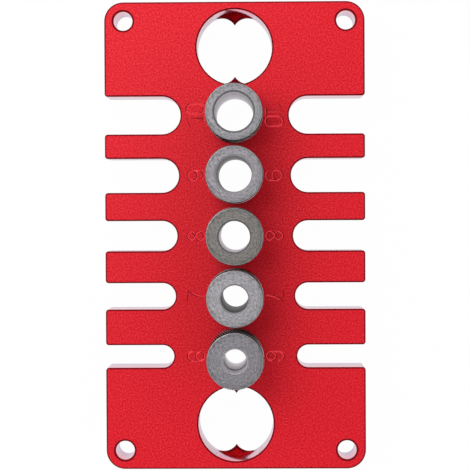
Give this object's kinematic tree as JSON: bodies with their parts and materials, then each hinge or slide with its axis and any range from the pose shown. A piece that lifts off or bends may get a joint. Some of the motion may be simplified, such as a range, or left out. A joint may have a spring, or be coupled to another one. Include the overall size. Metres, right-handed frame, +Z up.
{
  "type": "doweling jig",
  "caption": "Flat doweling jig: a red anodised plate with a row of knurled steel drill bushes, round-ended slots in both long sides, corner holes and round sight windows with pointers.",
  "frame": {"origin": "centre of the plate's flat underside, which lies on the work", "axes": "+Z up out of the plate, the way the bushes stand and the drill leaves; +Y along the row of bushes towards the widest bore; +X to the right across the plate"},
  "size_m": [0.069, 0.124, 0.027],
  "materials": {
    "anodised_plate": "bead-blasted and anodised bright red, with glossy broken edges",
    "bush_steel": "hardened steel, end faces turned, sides knurled"
  },
  "bodies": {
    "root": {"jig_plate": "anodised_plate", "drill_bush_10": "bush_steel", "drill_bush_9": "bush_steel", "drill_bush_8": "bush_steel", "drill_bush_7": "bush_steel", "drill_bush_6": "bush_steel"}
  },
  "joints": []
}
